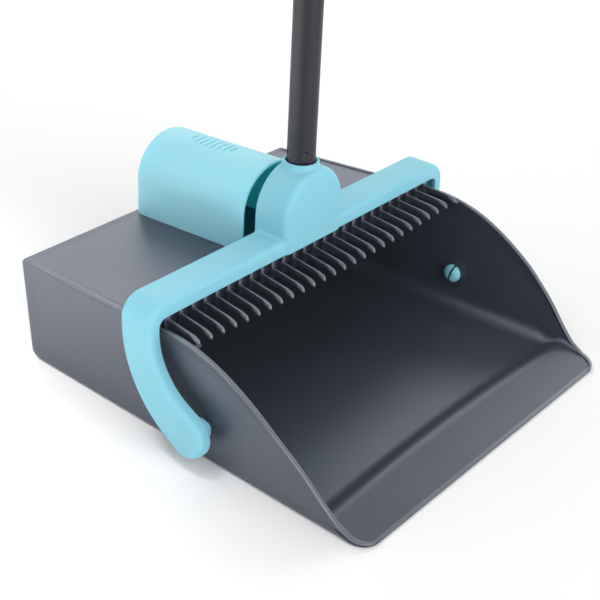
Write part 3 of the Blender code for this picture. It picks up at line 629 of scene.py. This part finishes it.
def comb_webs():
    """Small webs that tie the outermost teeth to the rim at their tips."""
    bm = bmesh.new()
    rear, front, low, high = -187.0, -190.2, 93.6, 96.0
    for s in (-1, 1):
        near, far = TEETH_TIP_HALF - 0.6, side_x(front, high) - 0.8
        rows = []
        for inset, z in ((0.5, low), (0.0, low + 0.5), (0.0, high - 0.5), (0.5, high)):
            rows.append([place(s * x, y, z) for x, y in ((near, front + inset), (far, front + inset),
                                                         (far, rear - inset), (near, rear - inset))])
        rings = grid(bm, rows, wrap=True)
        bm.faces.new(rings[-1])
        bm.faces.new(list(reversed(rings[0])))
    return piece("comb_webs", bm, pan_look, "pan", sharp=35.0)


# ------------------------------------------------------------------ yoke
def corner_frame(half, top, radius, low, steps):
    """Upside-down U: straight legs, rounded top corners."""
    return ([(half, low)] + arc(half - radius, top - radius, radius, 0, 90, steps)
            + arc(-half + radius, top - radius, radius, 90, 180, steps) + [(-half, low)])


def arm_outline():
    """Side view of an arm: two arcs that sweep forward to a round end below the pivot."""
    return ([(BAR_REAR, BAR_TOP + 5.0)] + arc(*ARM_REAR_ARC, 0, -60, 28) + arc(*ARM_END, -55, -242, 36)
            + arc(*ARM_FRONT_ARC, -62, 0, 26) + [(BAR_FRONT, BAR_TOP + 5.0)])


def arm_pocket():
    """Side view of the pocket inside an arm."""
    ry, rz, rr = ARM_REAR_ARC
    fy, fz, fr = ARM_FRONT_ARC
    return ([(BAR_REAR - RIB_WALL, 103.0)] + arc(ry, rz, rr - RIB_WALL, 0, -51, 14)
            + arc(PIN_Y, PIN_Z, 19.8, -8, 44, 6) + arc(fy, fz, fr + RIB_WALL, -51, 0, 12)
            + [(BAR_FRONT + RIB_WALL, 103.0)])


def yoke_frame():
    """Crossbar and both arms, with a soft outer edge and crisp inner ones."""
    ob = outline_solid(corner_frame(YOKE_HALF, BAR_TOP, BAR_CORNER, 5.0, 22), "y", -240.0, -110.0)
    inner = outline_solid(corner_frame(YOKE_HALF - ARM_T, BAR_BOTTOM, 6.5, 0.0, 12), "y", -250.0, -100.0)
    side = outline_solid(arm_outline(), "x", -190.0, 190.0)
    combine(ob, [inner], "DIFFERENCE")
    combine(ob, [side], "INTERSECT")
    bm = bmesh.new()
    bm.from_mesh(ob.data)
    bmesh.ops.remove_doubles(bm, verts=bm.verts, dist=0.005 * MM)
    bmesh.ops.dissolve_limit(bm, angle_limit=math.radians(0.5), verts=bm.verts, edges=bm.edges)
    weight = bm.edges.layers.float.new("bevel_weight_edge")
    for e in bm.edges:
        if len(e.link_faces) != 2 or e.calc_face_angle(0.0) < math.radians(50):
            continue
        mid = (e.verts[0].co + e.verts[1].co) / 2
        x, z = abs(mid.x) / MM, mid.z / MM
        if x > YOKE_HALF - 0.2 or z > BAR_TOP - 0.2:
            outside = True
        else:
            cx, cz = YOKE_HALF - BAR_CORNER, BAR_TOP - BAR_CORNER
            outside = x > cx and z > cz and math.hypot(x - cx, z - cz) > BAR_CORNER - 0.4
        e[weight] = 1.0 if outside else 0.25
    bm.to_mesh(ob.data)
    bm.free()
    bevel = ob.modifiers.new("soft", "BEVEL")
    bevel.limit_method = "WEIGHT"
    bevel.width = 4.2 * MM
    bevel.segments = 7
    bevel.use_clamp_overlap = True
    apply_modifiers(ob)
    cells = []
    for s in (-1, 1):
        for k in range(4):
            x, top = s * (37.0 + k * CELL_STEP + CELL_HALF), BAR_TOP - 2.8
            left, right = x - CELL_HALF, x + CELL_HALF
            cell = [(left, 100.0), (right, 100.0), (right, top), (left, top)]
            cells.append(outline_solid(cell, "y", BAR_FRONT + 3.0, BAR_REAR - 3.0))
        a, b = s * (YOKE_HALF - ARM_T - 1.0), s * (YOKE_HALF - RIB_WALL)
        cells.append(outline_solid(arm_pocket(), "x", min(a, b), max(a, b)))
    combine(ob, cells, "DIFFERENCE")
    mesh = ob.data
    mesh.shade_smooth()
    mesh.set_sharp_from_angle(angle=math.radians(28))
    mesh.materials.clear()
    mesh.materials.append(yoke_look)
    ob.name = "yoke_frame"
    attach(ob, "handle")
    return ob


def hub_inset(y):
    return max(rounded(y - HUB_FRONT, HUB_EDGE_FRONT), rounded(HUB_REAR - y, HUB_EDGE_REAR))


def hub_half(y):
    t = (y - HUB_FRONT) / (HUB_REAR - HUB_FRONT)
    return HUB_HALF_FRONT + (HUB_HALF_REAR - HUB_HALF_FRONT) * t


def hub_top(x, y):
    """Height of the hub's skin above a point of its plan."""
    half = hub_half(y) - hub_inset(y)
    spring = HUB_TOP - hub_half(y)
    return spring + math.sqrt(max(half * half - x * x, 0.0))


def hub_profile(y, low):
    half = hub_half(y) - hub_inset(y)
    spring = HUB_TOP - hub_half(y)
    line = [(half, low), (half, low + 6.0), (half, BAR_TOP + 1.0)]
    line += [(half, BAR_TOP + 1.0 + (spring - BAR_TOP - 1.0) * k / 4.0) for k in range(1, 4)]
    for a in range(0, 181, 4):
        t = math.radians(a)
        line.append((half * math.cos(t), spring + half * math.sin(t)))
    return line + [(-x, z) for x, z in reversed(line[:6])]


def yoke_hub():
    bm = bmesh.new()
    front = [HUB_FRONT + HUB_EDGE_FRONT * (1 - math.sin(math.radians(a))) for a in range(90, -1, -9)]
    rear = [HUB_REAR - HUB_EDGE_REAR * (1 - math.sin(math.radians(a))) for a in range(0, 91, 12)]
    rows = [[place(x, y, z) for x, z in hub_profile(y, BAR_BOTTOM - 0.3)] for y in front + rear]
    rings = grid(bm, rows)
    bm.faces.new(rings[0])
    bm.faces.new(list(reversed(rings[-1])))
    return piece("yoke_hub", bm, yoke_look, "handle", sharp=40.0)


def hub_fillets():
    """Soft foot where the hub's sides rise from the crossbar."""
    bm = bmesh.new()
    r = 4.0
    for s in (-1, 1):
        rows = []
        for k in range(13):
            y = BAR_FRONT + 2.2 + (BAR_REAR - 1.2 - BAR_FRONT - 2.2) * k / 12.0
            fade = math.sqrt(max(1.0 - abs(2.0 * k / 12.0 - 1.0) ** 6, 0.02))
            half = hub_half(y) - hub_inset(y)
            rr = r * fade
            turn = [math.radians(a) for a in range(0, 91, 10)]
            rows.append([place(s * (half - 0.05 + rr - rr * math.cos(a)), y,
                               BAR_TOP - 0.03 + rr - rr * math.sin(a)) for a in turn])
        grid(bm, rows)
    return piece("hub_fillets", bm, yoke_look, "handle", sharp=60.0)


def yoke_collar():
    """Collar around the tube, flared into the hub's crown."""
    bm = bmesh.new()
    bore, steps = TUBE_R + 0.9, 96
    rows = [[] for _ in range(18)]
    for i in range(steps):
        a = 2 * math.pi * i / steps
        cx, cy = math.cos(a), math.sin(a)
        reach = 18.8
        while reach > 14.0 and not (HUB_FRONT + 0.9 < TUBE_Y + reach * cy < HUB_REAR - 0.6):
            reach -= 0.2
        foot = hub_top(reach * cx, TUBE_Y + reach * cy) - 0.15
        neck = max(foot + 1.0, min(168.4, foot + 6.0))
        line = [(bore, COLLAR_TOP - 9.0), (bore, COLLAR_TOP - 0.5), (bore + 0.2, COLLAR_TOP - 0.1),
                (bore + 0.6, COLLAR_TOP), (13.1, COLLAR_TOP), (13.7, COLLAR_TOP - 0.25),
                (14.05, COLLAR_TOP - 0.9)]
        for k in range(11):
            t = k / 10.0
            b0, b1, b2 = (1 - t) ** 2, 2 * t * (1 - t), t * t
            r = 14.1 * b0 + 14.2 * b1 + max(reach, 14.2) * b2
            z = neck * b0 + (foot * 0.75 + neck * 0.25) * b1 + foot * b2
            line.append((r, z))
        for row, (r, z) in zip(rows, line):
            row.append(place(r * cx, TUBE_Y + r * cy, z))
    grid(bm, rows, wrap=True)
    return piece("yoke_collar", bm, yoke_look, "handle", sharp=50.0)


def yoke_bosses():
    """Round bosses that fill the gap between each arm and the pan's wall."""
    wall = side_x(PIN_Y, PIN_Z)
    bm = bmesh.new()
    for s in (-1, 1):
        line = [(0.5, YOKE_HALF - 4.0), (BOSS_R, YOKE_HALF - 4.0), (BOSS_R, wall + 3.2),
                (BOSS_R - 0.3, wall + 2.5), (BOSS_R - 0.9, wall + 2.2), (5.0, wall + 2.2)]
        turned_on_pins(bm, [(r, s * x) for r, x in line])
    return piece("yoke_bosses", bm, yoke_look, "handle", sharp=35.0)


def split_pin(side):
    """Slotted snap pin whose head shows inside the pan."""
    wall = side_x(PIN_Y, PIN_Z)
    inside = wall - WALL - 1.4
    line = [(0.01, wall + 3.0), (5.1, wall + 3.0), (5.1, inside), (7.2, inside - 0.1),
            (7.75, inside - 0.35), (7.95, inside - 0.9), (7.95, inside - 2.4), (7.6, inside - 3.3),
            (6.6, inside - 4.5), (5.2, inside - 5.6), (4.0, inside - 6.15), (3.2, inside - 6.35),
            (0.01, inside - 6.4)]
    bm = bmesh.new()
    turned_on_pins(bm, [(r, side * x) for r, x in line])
    bmesh.ops.remove_doubles(bm, verts=bm.verts, dist=0.03 * MM)
    bmesh.ops.recalc_face_normals(bm, faces=bm.faces)
    name = "split_pin_left" if side < 0 else "split_pin_right"
    ob = piece(name, bm, yoke_look, "handle", sharp=40.0)
    tilt = math.radians(PIN_SLOT_TILT)
    w = PIN_SLOT_HALF
    quad = []
    for a, b in ((-w, -12), (w, -12), (w, 12), (-w, 12)):
        quad.append((PIN_Y + a * math.cos(tilt) - b * math.sin(tilt),
                     PIN_Z + a * math.sin(tilt) + b * math.cos(tilt)))
    low, high = sorted((side * (wall + 0.4), side * (wall - 16.0)))
    combine(ob, [outline_solid(quad, "x", low, high)], "DIFFERENCE")
    ob.data.set_sharp_from_angle(angle=math.radians(35))
    return ob


# ------------------------------------------------------------------ hood
def hood_ring(y, inset, low):
    half = HOOD_HALF - inset
    spring = deck_z(y) + HOOD_RISE - HOOD_HALF
    line = [(half, low), (half, low + 1.0)]
    line += [(half, low + 1.0 + (spring - low - 1.0) * k / 6.0) for k in range(1, 6)]
    for k in range(73):
        t = math.pi * k / 72.0
        line.append((half * math.cos(t), spring + half * math.sin(t)))
    return line + [(-x, z) for x, z in reversed(line[:7])]


def groove_depth(x, y):
    """Finger grooves across the crown, the middle ones widest."""
    k = round((GROOVE_FIRST - y) / GROOVE_STEP)
    if k < 0 or k >= GROOVES:
        return 0.0
    centre = GROOVE_FIRST - GROOVE_STEP * k
    reach = GROOVE_HALF * math.sqrt(max(0.12, 1.0 - ((k - (GROOVES - 1) / 2.0) / (GROOVES / 2.0)) ** 2))
    across = math.hypot(max(abs(x) - reach + 1.0, 0.0), y - centre)
    return 1.1 * smooth(1.35, 0.7, across)


def rear_hood():
    bm = bmesh.new()
    round_r = 5.0
    rear = [HOOD_REAR - round_r * (1 - math.sin(math.radians(a))) for a in range(90, -1, -9)]
    body = spread((rear[-1], 6), (GROOVE_FIRST + 3.0, GROOVES * 20),
                  (GROOVE_FIRST - GROOVE_STEP * GROOVES, 6), (HOOD_FRONT + 1.0, 1))[1:]
    front = [HOOD_FRONT + 1.0 * (1 - math.sin(math.radians(a))) for a in (30, 60, 90)]
    rows = []
    for y in rear + body + front:
        inset = max(rounded(HOOD_REAR - y, round_r), rounded(y - HOOD_FRONT, 1.0))
        line = hood_ring(y, inset, deck_z(y) + 0.3)
        ring = []
        for x, z in line:
            up = Vector((x, z - (deck_z(y) + HOOD_RISE - HOOD_HALF)))
            dip = groove_depth(x, y) if z > deck_z(y) + HOOD_RISE - 14.0 else 0.0
            if dip:
                up.normalize()
                x, z = x - up.x * dip, z - up.y * dip
            ring.append(place(x, y, z))
        rows.append(ring)
    for y in spread((HOOD_FRONT, 1), (HOOD_FRONT + 1.0, 8), (HOOD_REAR - 6.0, 1)):
        inset = HOOD_WALL + rounded(y - HOOD_FRONT, 1.0) * -0.6
        rows.append([place(x, y, z) for x, z in hood_ring(y, inset, deck_z(y) + 0.3)])
    rings = grid(bm, rows)
    bm.faces.new(rings[0])
    bm.faces.new(rings[-1])
    return piece("rear_hood_shell", bm, hood_look, "pan", sharp=36.0)


# ------------------------------------------------------------------ handle
def dimple_depth(angle, z):
    """Punched dents that fix the tube to its plug: two rows, four around."""
    deepest = 0.0
    for row in DIMPLE_ROWS:
        for k in range(4):
            at = math.radians(90.0 * k - 38.4) - math.pi / 2
            turn = (angle - at + math.pi) % (2 * math.pi) - math.pi
            d = math.hypot(turn * TUBE_R, z - row)
            deepest = max(deepest, DIMPLE_DEPTH * max(0.0, 1.0 - (d / DIMPLE_R) ** 2))
    return deepest


def tube_piece(name, low, high, dimpled=False):
    """Thin-walled tube between two heights, with finer rings where it is dimpled."""
    bm = bmesh.new()
    if dimpled:
        heights = spread((low, 1), (162.0, 60), (184.0, 4), (high - 0.4, 1))
        steps = 288
    else:
        heights = spread((low + 0.4, 4), (high - 0.4, 1))
        steps = 96
    rows = [[] for _ in range(len(heights) + 5)]
    for i in range(steps):
        a = 2 * math.pi * i / steps
        line = [(TUBE_R - TUBE_WALL, low), (TUBE_R - 0.25, low)]
        line += [(TUBE_R - (dimple_depth(a, z) if dimpled else 0.0), z) for z in heights]
        line += [(TUBE_R - 0.12, high - 0.1), (TUBE_R - 0.3, high), (TUBE_R - TUBE_WALL, high)]
        for row, (r, z) in zip(rows, line):
            row.append(place(r * math.cos(a), TUBE_Y + r * math.sin(a), z))
    grid(bm, rows, wrap=True)
    return piece(name, bm, tube_look, "handle", sharp=60.0)


def node_range(node):
    """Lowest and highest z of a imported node, in millimetres."""
    low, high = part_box(node)
    return low.z / MM, high.z / MM


def coupler(name, node):
    """Moulded collar between two tubes, with a bead at each end and fine ribs between."""
    low, high = node_range(node)
    low, high = low + SPIGOT, high - SPIGOT
    bm = bmesh.new()
    steps = 144
    line = [(TUBE_R - 1.1, low - 30.0), (TUBE_R - 1.1, low + 0.3), (TUBE_R + 0.2, low + 0.3),
            (TUBE_R + 0.85, low + 0.55), (TUBE_R + 1.15, low + 1.1), (TUBE_R + 1.25, low + 1.9),
            (TUBE_R + 1.0, low + 2.6), (TUBE_R + 1.0, low + 3.2)]
    line += [(TUBE_R + 1.0, low + 3.2 + (high - low - 6.4) * k / 4.0) for k in range(1, 4)]
    line += [(TUBE_R + 1.0, high - 3.2), (TUBE_R + 1.0, high - 2.6), (TUBE_R + 1.25, high - 1.9),
             (TUBE_R + 1.15, high - 1.1), (TUBE_R + 0.85, high - 0.55), (TUBE_R + 0.2, high - 0.3),
             (TUBE_R - 1.1, high - 0.3), (TUBE_R - 1.1, high + 30.0)]
    rows = [[] for _ in line]
    for i in range(steps):
        a = 2 * math.pi * i / steps
        rib = 0.25 * (0.5 + 0.5 * math.cos(a * COUPLER_RIBS))
        for row, (r, z) in zip(rows, line):
            band = smooth(low + 2.6, low + 3.4, z) * smooth(high - 2.6, high - 3.4, z)
            rr = r + rib * band
            row.append(place(rr * math.cos(a), TUBE_Y + rr * math.sin(a), z))
    grid(bm, rows, wrap=True)
    return piece(name, bm, coupler_look, "handle", sharp=50.0)


def grip_piece():
    """Grip with shallow finger rings, a flattened top and a hanging eye."""
    low, high = node_range("grip")
    turn = [2 * math.pi * i / 96 for i in range(96)]
    bm = bmesh.new()
    heights = spread((low, 1), (low + 1.4, 3), (low + 7.0, 3), (low + 10.0, 2), (high - 112.0, 80),
                     (high - 56.0, 4), (high - 34.0, 12), (high - 9.0, 1))
    heights += [high - 9.0 * (1 - math.sin(math.radians(a))) for a in range(10, 90, 10)] + [high - 0.02]
    rows = []
    for z in heights:
        r = TUBE_R + 2.1 + 0.6 * smooth(low + 9.0, low + 7.0, z)
        r -= 1.0 * smooth(low + 1.4, low, z) ** 2
        for k in range(GRIP_RINGS):
            centre = high - 62.0 - GRIP_RING_STEP * k
            r -= 0.75 * smooth(2.9, 0.4, abs(z - centre))
        r += 0.5 * smooth(high - 56.0, high - 48.0, z) * smooth(high - 30.0, high - 38.0, z)
        r -= 1.5 * smooth(high - 34.0, high - 9.0, z)
        if z > high - 9.0:
            r = 11.6 * math.sqrt(max(1.0 - ((z - high + 9.0) / 9.0) ** 2, 0.0004))
        thick = 1.0 - 0.52 * smooth(high - 36.0, high - 22.0, z)
        rows.append([place(r * math.cos(a), TUBE_Y + r * thick * math.sin(a), z) for a in turn])
    rings = grid(bm, rows, wrap=True)
    bm.faces.new(rings[-1])
    bore = TUBE_R + 0.3
    inner = [[place(bore * math.cos(a), TUBE_Y + bore * math.sin(a), z) for a in turn]
             for z in (low, high - 40.0)]
    rings = grid(bm, inner, wrap=True)
    bm.faces.new(rings[-1])
    bmesh.ops.remove_doubles(bm, verts=bm.verts, dist=0.003 * MM)
    # the open foot is closed between grip and bore
    edges = [e for e in bm.edges if e.is_boundary]
    bmesh.ops.bridge_loops(bm, edges=edges)
    ob = piece("grip_sleeve", bm, grip_look, "handle", sharp=50.0)
    turn = [2 * math.pi * i / 48 for i in range(48)]
    eye = [(4.3 * math.cos(a), high - 15.5 + 7.0 * math.sin(a)) for a in turn]
    combine(ob, [outline_solid(eye, "y", TUBE_Y - 20.0, TUBE_Y + 20.0)], "DIFFERENCE")
    bevel = ob.modifiers.new("eye", "BEVEL")
    bevel.limit_method = "ANGLE"
    bevel.angle_limit = math.radians(50)
    bevel.width = 0.8 * MM
    bevel.segments = 3
    apply_modifiers(ob)
    ob.data.shade_smooth()
    ob.data.set_sharp_from_angle(angle=math.radians(50))
    return ob


# ------------------------------------------------------------------ stage
def area_light(name, at, toward, size, power, spread_degrees=180.0):
    data = bpy.data.lights.new(name, "AREA")
    data.shape = "RECTANGLE"
    data.size, data.size_y = size
    data.energy = power
    data.spread = math.radians(spread_degrees)
    ob = bpy.data.objects.new(name, data)
    bpy.context.scene.collection.objects.link(ob)
    ob.location = at
    ob.rotation_euler = (Vector(toward) - Vector(at)).to_track_quat("-Z", "Y").to_euler()
    return ob


SOFTBOXES = [
    ("top_rear", (0.2, 1.3, 1.5), (1.8, 1.0), 9.5), ("rear_right", (1.5, 1.25, 1.0), (1.8, 1.4), 13.5),
    ("left_high", (-1.1, 0.1, 1.8), (1.4, 1.2), 9.0), ("left_rear", (-1.6, 1.3, 0.8), (1.5, 1.2), 7.0),
    ("front_left", (-0.7, -1.8, 1.4), (1.3, 1.3), 20.0), ("front_low", (0.0, -2.0, 0.45), (1.8, 0.7), 18.0),
    ("right", (1.9, 0.0, 0.8), (1.6, 1.2), 10.0)]


def stage():
    mesh = bpy.data.meshes.new("studio_floor")
    bm = bmesh.new()
    bmesh.ops.create_grid(bm, x_segments=2, y_segments=2, size=6.0)
    bm.to_mesh(mesh)
    bm.free()
    floor = bpy.data.objects.new("studio_floor", mesh)
    bpy.context.scene.collection.objects.link(floor)
    floor.location.z = -0.0004
    mat, tree, bsdf = nodes_of("studio_paper")
    where = tree.nodes.new("ShaderNodeTexCoord")
    fibre = noise(tree, where, 40.0, 4.0)
    link(tree, span(tree, fibre, "Fac", 0.82, 0.9), "Result", bsdf, "Roughness")
    bsdf.inputs["Base Color"].default_value = (0.93, 0.93, 0.93, 1.0)
    bsdf.inputs["Specular IOR Level"].default_value = 0.1
    mesh.materials.append(mat)
    world = bpy.data.worlds.new("studio")
    bpy.context.scene.world = world
    world.use_nodes = True
    world.node_tree.nodes["Background"].inputs["Color"].default_value = (1.0, 1.0, 1.0, 1.0)
    world.node_tree.nodes["Background"].inputs["Strength"].default_value = 0.25
    for name, at, size, power in SOFTBOXES:
        area_light(name, at, (0.0, 0.0, 0.06), size, power)
    area_light("paper_left", (-0.80, 0.50, 1.0), (-0.80, 0.50, 0.0), (0.9, 0.9), 8.0, 50.0)
    bpy.context.scene.view_settings.view_transform = "Standard"
    bpy.context.scene.view_settings.look = "None"


def camera():
    """Seen from the front left, a little above, with the handle leaning slightly in the picture."""
    azimuth, elevation, roll = (math.radians(a) for a in (-51.61, 30.18, 2.92))
    back = Vector((math.sin(azimuth) * math.cos(elevation), -math.cos(azimuth) * math.cos(elevation),
                   math.sin(elevation)))
    level = (-back).cross(Vector((0.0, 0.0, 1.0))).normalized()
    plumb = level.cross(-back)
    right = level * math.cos(roll) + plumb * math.sin(roll)
    up = plumb * math.cos(roll) - level * math.sin(roll)
    at = place(0.0, -135.0, 45.0) + (back * 1049.3 + right * 12.4 - up * 1.1) * MM
    data = bpy.data.cameras.new("camera")
    data.lens, data.sensor_width = 78.39, 36.0
    data.clip_start, data.clip_end = 0.05, 50.0
    ob = bpy.data.objects.new("camera", data)
    ob.matrix_world = Matrix(((right.x, up.x, back.x, at.x), (right.y, up.y, back.y, at.y),
                              (right.z, up.z, back.z, at.z), (0.0, 0.0, 0.0, 1.0)))
    bpy.context.scene.collection.objects.link(ob)
    bpy.context.scene.camera = ob


# ------------------------------------------------------------------ build
camera()
stage()

shell = pan_shell()
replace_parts(shell, "pan_body")
pan_deck()
pan_roof()
comb_upstand()
comb_teeth()
comb_webs()

yoke = yoke_frame()
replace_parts(yoke, "yoke")
yoke_hub()
hub_fillets()
yoke_collar()
yoke_bosses()
for side in (-1, 1):
    split_pin(side)

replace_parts(rear_hood(), "rear_hood")
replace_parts(tube_piece("lower_tube_skin", *node_range("lower_tube"), dimpled=True), "lower_tube")
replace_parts(tube_piece("middle_tube_skin", *node_range("middle_tube")), "middle_tube")
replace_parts(tube_piece("upper_tube_skin", *node_range("upper_tube")), "upper_tube")
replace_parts(coupler("lower_coupler_skin", "lower_coupler"), "lower_coupler")
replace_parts(coupler("upper_coupler_skin", "upper_coupler"), "upper_coupler")
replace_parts(grip_piece(), "grip")
for slot in frame["nodes"]["tube_plug"].material_slots:
    slot.material = plug_look
